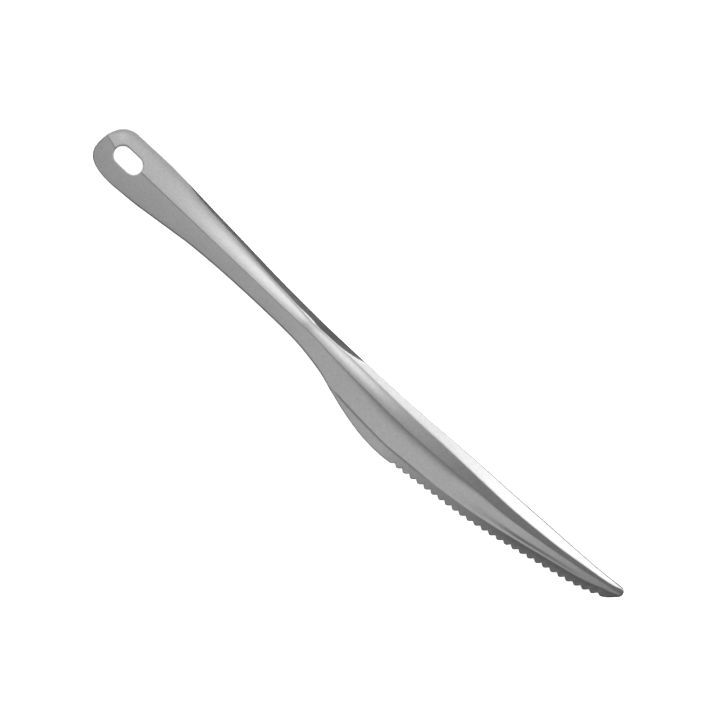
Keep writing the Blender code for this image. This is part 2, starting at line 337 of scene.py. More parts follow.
def eased(share):
    """A share eased at both of its ends."""
    share = np.clip(share, 0, 1)
    return share * share * (3 - 2 * share)


def past(distance, half_width):
    """0 before a fold and 1 after it, eased over a half width on each side."""
    return eased(0.5 + 0.5 * distance / half_width)


def near(distance, half_width):
    """1 on a line, falling off smoothly around it."""
    return np.exp(-((distance / half_width) ** 2))


def corner_share(x, length, roundness):
    """Share of the full reach that a butt corner has at x."""
    left = np.clip(1 - (x - BUTT) / length, 0, 1)
    return (1 - left**roundness) ** (1 / roundness)


def nose_half_width(x):
    """Half the width of the round tip at x."""
    return np.sqrt(np.maximum(TIP_RADIUS**2 - (x - TIP_CENTRE) ** 2, 0))


def edge_rim(x):
    """The outline on the cutting edge's side, over the tips of the teeth."""
    corner = BUTT_POINT - (BUTT_EDGE_REACH + BUTT_POINT) * corner_share(x, *EDGE_CORNER)
    nose = TIP_RISE - nose_half_width(x)
    line = np.where(x > TIP_TURN, nose, edge_line(x))
    return np.where(x < EDGE_CORNER[0], corner, line)


def spine_rim(x):
    """The outline on the spine's side."""
    corner = BUTT_POINT + (BUTT_SPINE_REACH - BUTT_POINT) * corner_share(x, *SPINE_CORNER)
    nose = TIP_RISE + nose_half_width(x)
    line = np.where(x > TIP_CENTRE, nose, spine_line(x))
    return np.where(x < SPINE_CORNER[0], corner, line)


def slot_half_width(x):
    """Half the width of the hanging slot at x, and 0 beyond it."""
    from_end = np.clip(np.minimum(x - SLOT_START, SLOT_END - x), 0, SLOT_RADIUS)
    return np.sqrt(SLOT_RADIUS**2 - (SLOT_RADIUS - from_end) ** 2)


def slot_shade(x, y):
    """How dark the painted shade on the slot's arc is."""
    before = SLOT_START + SLOT_RADIUS - x
    above = y - crease_line(SLOT_START + SLOT_RADIUS)
    from_arc = np.hypot(before, above) - SLOT_RADIUS
    faded = past(before, SLOT_SHADE_FADE[0]) * past(above, SLOT_SHADE_FADE[1])
    return SLOT_SHADE * near(from_arc - SLOT_SHADE_OFFSET, SLOT_SHADE_WIDTH) * faded


def folds(x):
    """The crease and the two fold lines at x, kept clear of each other where the tool ends."""
    edge, spine = edge_rim(x), spine_rim(x)
    inset = (spine - edge) * END_INSET
    crease = np.clip(crease_line(x), edge + inset, spine - inset)
    edge_fold = edge + np.minimum(edge_strip_width(x), (crease - edge) * BAND_SHARE)
    spine_fold = spine - np.minimum(back_wall_width(x), (spine - crease) * BAND_SHARE)
    return crease, edge_fold, spine_fold


def lean_across(x, y):
    """Lean of the finished face at a place, in degrees."""
    crease, edge_fold, spine_fold = folds(x)
    above = y - crease_line(x)
    down = np.clip(above / np.minimum(edge_fold - crease, -0.1), 0, 1)
    edge_side = edge_flank_lean(x) + edge_flank_bow(x) * down
    from_crease = eased(above / CREASE_SIDE_REACH)
    spine_side = between(crease_side_lean(x), spine_flank_lean(x), from_crease)
    to_fold = 1 + (y - spine_fold) / fold_side_width(x)
    spine_side = between(spine_side, fold_side_lean(x), eased(to_fold))
    lean = between(edge_side, spine_side, past(above, CREASE_HALF_WIDTH))
    dipped = past(-above, CREASE_LINE_WIDTH)
    dipped = dipped * past(above + crease_dip_width(x), CREASE_DIP_FADE)
    lean = lean - crease_dip(x) * dipped - CREASE_LINE_DIP * near(above, CREASE_LINE_WIDTH)
    bump = near(x - BUMP_PLACE[0], BUMP_REACH[0]) * near(y - BUMP_PLACE[1], BUMP_REACH[1])
    lean = lean + BUMP_LEAN * bump
    lean = lean - groove_dip(x) * near(y - edge_fold - groove_offset(x), groove_width(x))
    beyond = y - spine_fold
    steep = past(beyond - facet_width(x), WALL_HALF_WIDTH)
    wall = between(facet_lean(x), STEEP_LEAN, steep)
    lean = between(lean, wall, past(beyond, fold_half_width(x)))
    outward = (edge_fold - y) / edge_strip_width(x)
    strip = edge_strip_lean(x) - edge_strip_bow(x) * np.clip(outward, 0, 1)
    lean = between(lean, strip, past(edge_fold - y, EDGE_FOLD_HALF_WIDTH))
    return lean - edge_fold_dip(x) * near(y - edge_fold, EDGE_FOLD_HALF_WIDTH)


def shade_across(x, y):
    """How dark the painted shade along the crease, folds, rims, slot and steep wall makes a place.
    """
    _, edge_fold, spine_fold = folds(x)
    painted_shade = crease_shade(x) * near(y - crease_line(x), SHADE_WIDTH)
    painted_shade = painted_shade + edge_fold_shade(x) * near(y - edge_fold, SHADE_WIDTH)
    from_fold = y - spine_fold
    on_fold = near(from_fold + SPINE_SHADE_OFFSET, SPINE_SHADE_WIDTH)
    painted_shade = painted_shade + spine_fold_shade(x) * on_fold
    painted_shade = painted_shade + spine_rim_shade(x) * near(spine_rim(x) - y, RIM_SHADE_WIDTH)
    painted_shade = painted_shade + slot_shade(x, y)
    painted_shade = painted_shade + wall_shade(x) * past(from_fold - facet_width(x), WALL_HALF_WIDTH)
    return painted_shade + near(NOSE - x, NOSE_SHADE_WIDTH)


def face_heights(x, rows):
    """Heights of the finished face over the flat of the blade, one row of places after another."""
    steps = np.linspace(0, 1, PROFILE_STEPS)[:, None]
    places = between(rows[0], rows[-1], steps)
    rises = -slope(lean_across(x, places))
    middles = (rises[1:] + rises[:-1]) / 2 * np.diff(places, axis=0)
    profile = np.vstack([np.zeros_like(x), np.cumsum(middles, axis=0)])
    heights = np.empty_like(rows)
    for k in range(len(x)):
        at_crease = np.interp(crease_line(x[k]), places[:, k], profile[:, k])
        heights[:, k] = np.interp(rows[:, k], places[:, k], profile[:, k]) - at_crease
    return heights + crease_height(x)


# ---------------------------------------------------------------- columns and rows

def round_spacing(start, end, count):
    """Columns that crowd towards start, as a round end needs."""
    turns = np.linspace(0, np.pi / 2, count + 1)
    return start + (end - start) * (1 - np.cos(turns))


def column_places(teeth):
    """Places of the mesh's columns along the tool, in millimetres."""
    pitch = teeth.pitch / MM
    rolled = np.array(RIM_ROWS[1:])
    handle_end = TEETH_START - pitch / 2
    teeth_end = TEETH_START + pitch * (teeth.count + 0.5)
    handle_steps = round((handle_end - SLOT_END) / HANDLE_STEP)
    tooth_steps = (teeth.count + 1) * TOOTH_COLUMNS
    runs = (
        round_spacing(BUTT, SLOT_START - rolled[-1], END_COLUMNS),
        SLOT_START - rolled,
        round_spacing(SLOT_START, SLOT_START + SLOT_RADIUS, SLOT_COLUMNS),
        np.linspace(SLOT_START + SLOT_RADIUS, SLOT_END - SLOT_RADIUS, 5),
        round_spacing(SLOT_END, SLOT_END - SLOT_RADIUS, SLOT_COLUMNS),
        SLOT_END + rolled,
        np.linspace(SLOT_END + 1, handle_end, handle_steps),
        np.linspace(handle_end, teeth_end, tooth_steps + 1),
        np.linspace(teeth_end, TIP_CENTRE, 10),
        round_spacing(NOSE, TIP_CENTRE, END_COLUMNS),
    )
    columns = np.sort(np.clip(np.concatenate(runs), BUTT + END_FLAT, NOSE - END_FLAT))
    return columns[np.insert(np.diff(columns) > 1e-3, 0, True)]


def band_rows(start, end, near_start, near_end, inner):
    """Rows across a band: some close to each side, and inner ones spread evenly between."""
    room = end - start
    scale = np.minimum(1, CROWDED_SHARE * room / (near_start[-1] + near_end[-1]))
    first = [start + offset * scale for offset in near_start]
    last = [end - offset * scale for offset in reversed(near_end)]
    middle = [between(first[-1], last[0], i / (inner + 1)) for i in range(1, inner + 1)]
    return first + middle + last


def rows_across(x):
    """Rows on the edge's side of the crease and on the spine's side, from rim to rim."""
    crease, edge_fold, spine_fold = folds(x)
    slot = slot_half_width(x)
    low = band_rows(edge_rim(x), edge_fold, RIM_ROWS, FOLD_ROWS, 2)
    low += band_rows(edge_fold, crease - slot, BEAD_ROWS, CREASE_ROWS, 4)[1:]
    high = band_rows(crease + slot, spine_fold, CREASE_ROWS, FOLD_ROWS, 9)
    high += band_rows(spine_fold, spine_rim(x), WALL_ROWS, RIM_ROWS, 8)[1:]
    return np.array(low), np.array(high)


class Sheet:
    """The finished face as a grid of places, with what the later steps need to know of them."""

    def __init__(self, teeth):
        x = column_places(teeth)
        low, high = rows_across(x)
        self.rows, self.columns, self.low_rows = len(low) + len(high), len(x), len(low)
        y = np.vstack([low, high])
        x = np.broadcast_to(x, y.shape)
        z = face_heights(x[0], y)
        self.places = np.stack([x, y, z], axis=-1).reshape(-1, 3)
        step = 0.02
        ahead = self.height_at(x[0] + step, y) - self.height_at(x[0] - step, y)
        tilt = np.stack([-ahead / (2 * step), slope(lean_across(x[0], y)), np.ones_like(y)],
                        axis=-1)
        from_end = np.minimum(x - BUTT, NOSE - x)
        leaning = np.clip((from_end - PLAIN_END) / PLAIN_END_FADE, 0, 1)[..., None]
        tilt = tilt / np.linalg.norm(tilt, axis=-1, keepdims=True)
        tilt = between(np.array([0.0, 0.0, 1.0]), tilt, leaning)
        self.normals = (tilt / np.linalg.norm(tilt, axis=-1, keepdims=True)).reshape(-1, 3)
        edge_fold = folds(x[0])[1]
        rolled = edge_rim(x[0]) + RIM_ROWS[-1]
        share = np.clip((edge_fold - y) / np.maximum(edge_fold - rolled, 0.01), 0, 1)
        self.strip_share = share.ravel()
        # Painted shade along the crease, the folds, the rims, the slot and the steep wall.
        self.painted_shade = shade_across(x, y).ravel()

    @staticmethod
    def height_at(x, y):
        """Heights at places that need not be the rows of their column."""
        ends = np.vstack([np.minimum(edge_rim(x), y[0]), y, np.maximum(spine_rim(x), y[-1])])
        return face_heights(x, ends)[1:-1]

    def faces(self):
        """Corners of the grid's faces, leaving the slot open."""
        corner = np.arange(self.rows * self.columns).reshape(self.rows, self.columns)
        found = []
        for part in (corner[:self.low_rows], corner[self.low_rows:]):
            quads = (part[:-1, :-1], part[:-1, 1:], part[1:, 1:], part[1:, :-1])
            found.append(np.stack(quads, axis=-1).reshape(-1, 4))
        return np.vstack(found)


def sheet_object(sheet):
    """The sheet's finished face as an object that carries its strip share."""
    data = bpy.data.meshes.new("finished_face")
    data.from_pydata(sheet.places * MM, [], sheet.faces().tolist())
    follows = data.attributes.new("strip_share", "FLOAT", "POINT")
    follows.data.foreach_set("value", sheet.strip_share.astype(np.float32))
    face = bpy.data.objects.new("finished_face", data)
    bpy.context.collection.objects.link(face)
    return face


# ---------------------------------------------------------------- node trees

def node(tree, kind, place, **settings):
    """A node of a tree at a place in its editor, with its settings."""
    made = tree.nodes.new(kind)
    made.location = (place[0] * 190, place[1] * -170)
    for name, value in settings.items():
        setattr(made, name, value)
    return made


def maths(tree, place, operation, *values):
    """A math node whose inputs are numbers or other nodes' outputs."""
    made = node(tree, "ShaderNodeMath", place, operation=operation)
    for socket, value in zip(made.inputs, values):
        if isinstance(value, (int, float)):
            socket.default_value = value
        else:
            tree.links.new(value, socket)
    return made.outputs[0]


def serration_tree():
    """Cuts round teeth between sharp notches into a sheet's strip along its cutting edge."""
    tree = bpy.data.node_groups.new("serration", "GeometryNodeTree")
    face = tree.interface
    face.new_socket("Sheet", in_out="INPUT", socket_type="NodeSocketGeometry")
    for name in ("First Notch", "Pitch", "Depth", "Count", "Rounding", "Rise Start", "Rise End"):
        face.new_socket(name, in_out="INPUT", socket_type="NodeSocketFloat")
    face.new_socket("Steel", in_out="INPUT", socket_type="NodeSocketMaterial")
    face.new_socket("Sheet", in_out="OUTPUT", socket_type="NodeSocketGeometry")
    given = node(tree, "NodeGroupInput", (0, 0))
    result = node(tree, "NodeGroupOutput", (12, 0))
    value = given.outputs
    place = node(tree, "GeometryNodeInputPosition", (0, 2))
    split = node(tree, "ShaderNodeSeparateXYZ", (1, 2))
    tree.links.new(place.outputs[0], split.inputs[0])
    from_start = maths(tree, (2, 2), "SUBTRACT", split.outputs["X"], value["First Notch"])
    turns = maths(tree, (3, 2), "DIVIDE", from_start, value["Pitch"])
    phase = maths(tree, (4, 2), "FLOORED_MODULO", turns, 1.0)
    doubled = maths(tree, (5, 2), "MULTIPLY_ADD", phase, 2.0, -1.0)
    from_tip = maths(tree, (6, 2), "ABSOLUTE", doubled)
    round_square = maths(tree, (5, 4), "MULTIPLY", value["Rounding"], value["Rounding"])

    def softened(distance, row):
        squared = maths(tree, (7, row), "MULTIPLY_ADD", distance, distance, round_square)
        return maths(tree, (8, row), "SUBTRACT", maths(tree, (8, row + 1), "SQRT", squared),
                     value["Rounding"])

    one = node(tree, "ShaderNodeValue", (6, 5))
    one.outputs[0].default_value = 1.0
    cut = maths(tree, (9, 3), "DIVIDE", softened(from_tip, 2), softened(one.outputs[0], 5))
    deep = maths(tree, (9, 4), "MULTIPLY", cut, value["Depth"])
    after = maths(tree, (5, 6), "GREATER_THAN", turns, -0.5)
    last = maths(tree, (5, 7), "ADD", value["Count"], 0.5)
    before = maths(tree, (6, 7), "LESS_THAN", turns, last)
    within = maths(tree, (7, 7), "MULTIPLY", after, before)
    share = node(tree, "GeometryNodeInputNamedAttribute", (8, 7), data_type="FLOAT")
    share.inputs["Name"].default_value = "strip_share"
    held = maths(tree, (9, 7), "MULTIPLY", within, share.outputs["Attribute"])
    inward = maths(tree, (10, 4), "MULTIPLY", deep, held)
    passed = maths(tree, (9, 8), "DIVIDE", turns, value["Count"])
    steeper = maths(tree, (9, 9), "SUBTRACT", value["Rise End"], value["Rise Start"])
    rise = maths(tree, (10, 8), "MULTIPLY_ADD", passed, steeper, value["Rise Start"])
    upward = maths(tree, (11, 6), "MULTIPLY", inward, rise)
    offset = node(tree, "ShaderNodeCombineXYZ", (11, 4))
    tree.links.new(inward, offset.inputs["Y"])
    tree.links.new(upward, offset.inputs["Z"])
    moved = node(tree, "GeometryNodeSetPosition", (11, 0))
    tree.links.new(value["Sheet"], moved.inputs["Geometry"])
    tree.links.new(offset.outputs[0], moved.inputs["Offset"])
    real = node(tree, "GeometryNodeRealizeInstances", (11, -1))
    tree.links.new(moved.outputs[0], real.inputs[0])
    coated = node(tree, "GeometryNodeSetMaterial", (12, -1))
    tree.links.new(real.outputs[0], coated.inputs["Geometry"])
    tree.links.new(value["Steel"], coated.inputs["Material"])
    tree.links.new(coated.outputs[0], result.inputs[0])
    return tree


def cut_teeth(face, teeth, steel):
    """Bakes the serration into the finished face and returns its new places."""
    tree = serration_tree()
    cutter = face.modifiers.new("serration", "NODES")
    cutter.node_group = tree
    teeth_end = TEETH_START + teeth.count * teeth.pitch / MM
    sizes = {
        "First Notch": TEETH_START * MM,
        "Pitch": teeth.pitch,
        "Depth": teeth.depth,
        "Count": float(teeth.count),
        "Rounding": teeth.rounding,
        "Rise Start": float(-slope(edge_strip_lean(TEETH_START))),
        "Rise End": float(-slope(edge_strip_lean(teeth_end))),
        "Steel": steel,
    }
    sockets = {item.name: item.identifier for item in tree.interface.items_tree
               if item.in_out == "INPUT"}
    for name, size in sizes.items():
        cutter[sockets[name]] = size
    graph = bpy.context.evaluated_depsgraph_get()
    baked = bpy.data.meshes.new_from_object(face.evaluated_get(graph))
    face.modifiers.remove(cutter)
    face.data = baked
    bpy.data.node_groups.remove(tree)
    places = np.zeros(len(baked.vertices) * 3)
    baked.vertices.foreach_get("co", places)
    return places.reshape(-1, 3) / MM


# ---------------------------------------------------------------- from sheet to metal

def merged(places, faces):
    """The faces that still have area once places that touch share one number."""
    _, first, number = np.unique(
        np.round(places, 5), axis=0, return_index=True, return_inverse=True)
    kept = first[number.ravel()]
    solid = []
    for corners in kept[faces].tolist():
        ring = list(dict.fromkeys(corners))
        if len(ring) > 2:
            solid.append(ring)
    return solid


def open_edges(faces):
    """Edges that only one face has, in that face's direction."""
    directed = {(a, b) for ring in faces for a, b in zip(ring, ring[1:] + ring[:1])}
    return [(a, b) for a, b in directed if (b, a) not in directed]


def rim_distances(places, rims):
    """Distance of each place from the nearest cut rim, in plan."""
    tree = kdtree.KDTree(len(rims) * RIM_SAMPLES)
    for i, (a, b) in enumerate(rims):
        for k in range(RIM_SAMPLES):
            x, y, _ = between(places[a], places[b], k / RIM_SAMPLES)
            tree.insert((x, y, 0), i * RIM_SAMPLES + k)
    tree.balance()
    return np.array([tree.find((x, y, 0))[2] for x, y, _ in places])


def roll_widths(places):
    """Width of the rounded rim that each place would have."""
    x, y = places[:, 0], places[:, 1]
    width = np.where(y > crease_line(x), spine_roll(x), edge_roll(x))
    by_slot = (x > SLOT_START - SLOT_MARGIN) & (x < SLOT_END + SLOT_MARGIN)
    by_slot = by_slot & (np.abs(y) < SLOT_RADIUS + SLOT_MARGIN)
    return np.where(by_slot, SLOT_ROLL, width)


def hollow_face(sheet, places, thickness):
    """The face under the finished one, without the loops that a sharp fold would give it."""
    under = (places - sheet.normals * thickness).reshape(sheet.rows, sheet.columns, 3)
    over = places.reshape(sheet.rows, sheet.columns, 3)
    for k in range(sheet.columns):
        y = np.maximum.accumulate(under[:, k, 1])
        apart = np.abs(y[:, None] - over[None, :, k, 1])
        reach = np.sqrt(np.maximum(thickness**2 - apart**2, 0))
        depth = np.where(apart < thickness, over[None, :, k, 2] - reach, np.inf).min(axis=1)
        under[:, k, 1] = y
        under[:, k, 2] = np.minimum(under[:, k, 2], depth)
    return under.reshape(-1, 3)


def pressed_mesh(sheet, places, shape, steel):
    """The closed sheet, with a rounded upper rim and a crisp lower one."""
    tops = merged(places, sheet.faces())
    rims = open_edges(tops)
    distance = rim_distances(places, rims)
    width = roll_widths(places)
    left = np.maximum(1 - distance / width, 0)
    upper = places - sheet.normals * (shape.roll_slope / 2 * width * left**2)[:, None]
    left = np.maximum(1 - distance * MM / shape.lower_roll, 0)
    lower = hollow_face(sheet, places, shape.sheet / MM)
    lower = lower + sheet.normals * (shape.lower_roll / MM * 0.5 * left**2)[:, None]
    count = len(places)
    points = [upper, lower]
    wear = [np.maximum(1 - distance / WEAR_REACH, 0)] * 2
    cut = [np.zeros(count)] * 2
    faces = list(tops) + [[corner + count for corner in reversed(ring)] for ring in tops]
    corners = sorted({corner for edge in rims for corner in edge})
    place_of = {corner: i for i, corner in enumerate(corners)}
    for share in CUT_SHARES:
        points.append(between(upper[corners], lower[corners], share))
        wear.append(np.ones(len(corners)))
        cut.append(np.ones(len(corners)))
    rings = [2 * count + i * len(corners) for i in range(len(CUT_SHARES))]
    for a, b in rims:
        down_a = [a] + [ring + place_of[a] for ring in rings] + [a + count]
        down_b = [b] + [ring + place_of[b] for ring in rings] + [b + count]
        for i in range(len(down_a) - 1):
            faces.append([down_b[i], down_a[i], down_a[i + 1], down_b[i + 1]])
    data = bpy.data.meshes.new("pressed_knife")
    data.from_pydata(np.vstack(points) * MM, [], faces)
    # Only the finished face carries the painted shade.
    painted_shade = np.concatenate([sheet.painted_shade] + [np.zeros(len(part)) for part in points[1:]])
    for name, values in (("rim_wear", np.concatenate(wear)),
                         ("cut_face", np.concatenate(cut)), ("shaded", painted_shade)):
        layer = data.attributes.new(name, "FLOAT", "POINT")
        layer.data.foreach_set("value", values.astype(np.float32))
    tidy = bmesh.new()
    tidy.from_mesh(data)
    loose = [corner for corner in tidy.verts if not corner.link_faces]
    bmesh.ops.delete(tidy, geom=loose, context="VERTS")
    for face in tidy.faces:
        face.smooth = True
    tidy.to_mesh(data)
    tidy.free()
    data.set_sharp_from_angle(angle=math.radians(SHARP_ANGLE))
    data.materials.append(steel)
    return data


def seat_in_box(mesh):
    """Moves the finished mesh to the place of the pressed blank."""
    points = np.zeros(len(mesh.vertices) * 3)
    mesh.vertices.foreach_get("co", points)
    points = points.reshape(-1, 3)
    low, high = points.min(axis=0), points.max(axis=0)
    shift = (np.array(BLANK_LOW) + np.array(BLANK_HIGH) - low - high) / 2
    shift[2] = BLANK_LOW.z - low[2]
    mesh.vertices.foreach_set("co", (points + shift).ravel())
    mesh.update()


# ---------------------------------------------------------------- materials

# How grain and mottle change the steel, how worn and cut places differ, and how painted shade
# darkens it.
GRAIN_ROUGHNESS = 0.03
MOTTLE = 1.3
TONE_CHANGE = 0.25
WORN_ROUGHNESS = -0.05
TORN_ROUGHNESS = 0.12
TORN_TONE = -0.22
PAINTED_SHADE_TONE = -0.3


def group_tree(name, inputs, outputs):
    """An empty shader node group with float inputs and outputs, and its two end nodes."""
    tree = bpy.data.node_groups.new(name, "ShaderNodeTree")
    for label, default in inputs:
        socket = tree.interface.new_socket(label, in_out="INPUT", socket_type="NodeSocketFloat")
        socket.default_value = default
    for label in outputs:
        tree.interface.new_socket(label, in_out="OUTPUT", socket_type="NodeSocketFloat")
    return tree, node(tree, "NodeGroupInput", (0, 0)), node(tree, "NodeGroupOutput", (8, 0))


def stretched_noise(tree, row, stretch, detail, roughness):
    """Noise on object coordinates, stretched by a scale for each axis."""
    coordinates = node(tree, "ShaderNodeTexCoord", (1, row))
    mapping = node(tree, "ShaderNodeMapping", (2, row))
    mapping.inputs["Scale"].default_value = stretch
    noise = node(tree, "ShaderNodeTexNoise", (3, row))
    noise.inputs["Scale"].default_value = 1.0
    noise.inputs["Detail"].default_value = detail
    noise.inputs["Roughness"].default_value = roughness
    tree.links.new(coordinates.outputs["Object"], mapping.inputs["Vector"])
    tree.links.new(mapping.outputs[0], noise.inputs["Vector"])
    return noise.outputs["Fac"]


def satin_grain():
    """Fine grain drawn along the tool, with a faint mottle and cloudy handling marks."""
    inputs = (("Grain", 1.0), ("Clouds", 1.0))
    tree, given, result = group_tree("satin_grain", inputs, ("Height", "Roughness", "Tone"))
    fine = stretched_noise(tree, 1, (260, 9000, 9000), 3.0, 0.6)
    broad = stretched_noise(tree, 3, (90, 2200, 2200), 2.0, 0.5)
    cloud = stretched_noise(tree, 5, (140, 260, 260), 3.0, 0.55)
    grain = maths(tree, (4, 1), "MULTIPLY_ADD", broad, 0.5, fine)
    height = maths(tree, (5, 1), "MULTIPLY", grain, given.outputs["Grain"])
    drift = maths(tree, (4, 5), "SUBTRACT", cloud, 0.5)
    clouded = maths(tree, (5, 5), "MULTIPLY", drift, given.outputs["Clouds"])
    rough = maths(tree, (6, 3), "MULTIPLY_ADD", grain, GRAIN_ROUGHNESS, clouded)
    tree.links.new(height, result.inputs["Height"])
    tree.links.new(rough, result.inputs["Roughness"])
    mottle = stretched_noise(tree, 7, (1000, 2000, 2000), 2.0, 0.6)
    spread = maths(tree, (4, 7), "MULTIPLY_ADD", mottle, MOTTLE, -MOTTLE / 2)
    tree.links.new(maths(tree, (6, 5), "ADD", clouded, spread), result.inputs["Tone"])
    return tree


def satin_steel(finish):
    """Satin sheet steel, polished along its rims, torn on its cut face, darkened by painted shade.
    """
    material = bpy.data.materials.new("satin_steel")
    material.use_nodes = True
    tree = material.node_tree
    shader = tree.nodes["Principled BSDF"]
    shader.location = (1600, 0)
    shader.inputs["Metallic"].default_value = 1.0
    grain = node(tree, "ShaderNodeGroup", (1, 0), node_tree=satin_grain())
    grain.inputs["Grain"].default_value = 1.0
    grain.inputs["Clouds"].default_value = finish.clouds
    worn = node(tree, "ShaderNodeAttribute", (1, 2), attribute_name="rim_wear")
    torn = node(tree, "ShaderNodeAttribute", (1, 3), attribute_name="cut_face")
    # Painted shade read from the mesh darkens the steel's colour below.
    shaded = node(tree, "ShaderNodeAttribute", (1, 4), attribute_name="shaded")
    base = maths(tree, (3, 0), "ADD", grain.outputs["Roughness"], finish.roughness)
    polished = maths(tree, (4, 0), "MULTIPLY_ADD", worn.outputs["Fac"], WORN_ROUGHNESS, base)
    rough = maths(tree, (5, 0), "MULTIPLY_ADD", torn.outputs["Fac"], TORN_ROUGHNESS, polished)
    tree.links.new(rough, shader.inputs["Roughness"])
    tone = maths(tree, (3, 2), "MULTIPLY_ADD", grain.outputs["Tone"], TONE_CHANGE, 1.0)
    shade_darkened = maths(tree, (4, 3), "MULTIPLY_ADD", shaded.outputs["Fac"], PAINTED_SHADE_TONE, tone)
    dull = maths(tree, (5, 2), "MULTIPLY_ADD", torn.outputs["Fac"], TORN_TONE, shade_darkened)
    colour = node(tree, "ShaderNodeMix", (6, 2), data_type="RGBA", blend_type="MULTIPLY")
    colour.inputs["Factor"].default_value = 1.0
    colour.inputs["A"].default_value = (*finish.colour, 1)
    tree.links.new(dull, colour.inputs["B"])
    tree.links.new(colour.outputs["Result"], shader.inputs["Base Color"])
    bump = node(tree, "ShaderNodeBump", (6, 4))
    bump.inputs["Strength"].default_value = 0.25
    bump.inputs["Distance"].default_value = 0.00001
    tree.links.new(grain.outputs["Height"], bump.inputs["Height"])
    tree.links.new(bump.outputs[0], shader.inputs["Normal"])
    return material


# ---------------------------------------------------------------- settings

class KnifeShape(bpy.types.PropertyGroup):
    """Sizes of the pressed sheet."""
    sheet: FloatProperty(
        name="Sheet", description="Thickness of the sheet", default=0.0008, unit="LENGTH")
    roll_slope: FloatProperty(
        name="Roll slope", description="Slope that a rounded rim reaches", default=0.75)
    lower_roll: FloatProperty(
        name="Lower roll", description="Radius of the rim on the hollow face",
        default=0.00006, unit="LENGTH")


class KnifeTeeth(bpy.types.PropertyGroup):
    """Sizes of the serration."""
    pitch: FloatProperty(
        name="Pitch", description="Distance from tooth to tooth", default=0.00257,
        unit="LENGTH")
    depth: FloatProperty(
        name="Depth", description="Depth of a notch", default=0.0009, unit="LENGTH")
    count: IntProperty(name="Count", description="Number of whole teeth", default=27)
    rounding: FloatProperty(
        name="Rounding", description="Roundness of a tooth's tip", default=0.35,
        subtype="FACTOR")


class KnifeFinish(bpy.types.PropertyGroup):
    """Finish of the steel."""
    colour: FloatVectorProperty(
        name="Colour", description="Colour of the bare steel", default=(0.62, 0.62, 0.62),
        subtype="COLOR")
    roughness: FloatProperty(
        name="Roughness", description="Roughness of the satin face", default=0.30,
        subtype="FACTOR")
    clouds: FloatProperty(
        name="Clouds", description="Strength of the cloudy handling marks", default=0.1,
        subtype="FACTOR")


class KnifeStage(bpy.types.PropertyGroup):
    """The floor, the light and the camera."""
    turn: FloatProperty(
        name="Turn", description="Slant of the tool in the picture",
        default=math.radians(43.42), subtype="ANGLE")
    field: FloatProperty(
        name="Field", description="Width that the camera sees", default=0.2113,
        unit="LENGTH")
    lens: FloatProperty(name="Lens", description="Focal length in millimetres", default=300.0)
    aim_along: FloatProperty(
        name="Aim along", description="Where the camera looks, from the middle of the tool",
        default=-0.0018, unit="LENGTH")
    aim_across: FloatProperty(
        name="Aim across", description="Where the camera looks, across the tool",
        default=0.0059, unit="LENGTH")
    floor: FloatVectorProperty(
        name="Floor", description="Colour of the floor", default=(0.9, 0.9, 0.9),
        subtype="COLOR")
    fill: FloatProperty(
        name="Fill", description="Brightness of the studio on the floor", default=2.2)


# ---------------------------------------------------------------- operators

class BuildKnife(bpy.types.Operator):
    """Press the knife from its blank, cut its teeth and give it its finish"""
    bl_idname = "clay_knife.build_knife"
    bl_label = "Build Knife"

    def execute(self, context):
        scene = context.scene
        steel = satin_steel(scene.knife_finish)
        sheet = Sheet(scene.knife_teeth)
        face = sheet_object(sheet)
        places = cut_teeth(face, scene.knife_teeth, steel)
        bpy.data.objects.remove(face)
        knife = bpy.data.objects.new("pressed_knife", pressed_mesh(
            sheet, places, scene.knife_shape, steel))
        context.collection.objects.link(knife)
        seat_in_box(knife.data)
        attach(knife, "root")
        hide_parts(NODE)
        return {"FINISHED"}


# Glow of the studio by angle: 0 is straight overhead, more is towards the spine's side.
STUDIO_GLOW = (
    (-180, 0.8), (-130, 0.6), (-104, 0.1), (-78, 0.04), (-48, 0.03), (-30, 0.11), (-16, 0.27),
    (0, 0.465), (14, 0.79), (22, 1.15), (30, 2.05), (38, 1.1), (50, 0.2), (62, 0.3), (74, 1.2),
    (88, 1.65), (100, 2.7), (109, 0.04), (150, 0.04), (180, 0.4),
)


def floor_plane(stage):
    """A wide pale floor under the tool."""
    bpy.ops.mesh.primitive_plane_add(size=6.0, location=(0, 0, 0))
    floor = bpy.context.object
    floor.name = "floor"
    material = bpy.data.materials.new("pale_floor")
    material.use_nodes = True
    shader = material.node_tree.nodes["Principled BSDF"]
    shader.inputs["Base Color"].default_value = (*stage.floor, 1)
    shader.inputs["Roughness"].default_value = 0.9
    shader.inputs["Specular IOR Level"].default_value = 0.0
    floor.data.materials.append(material)
    floor.visible_glossy = False


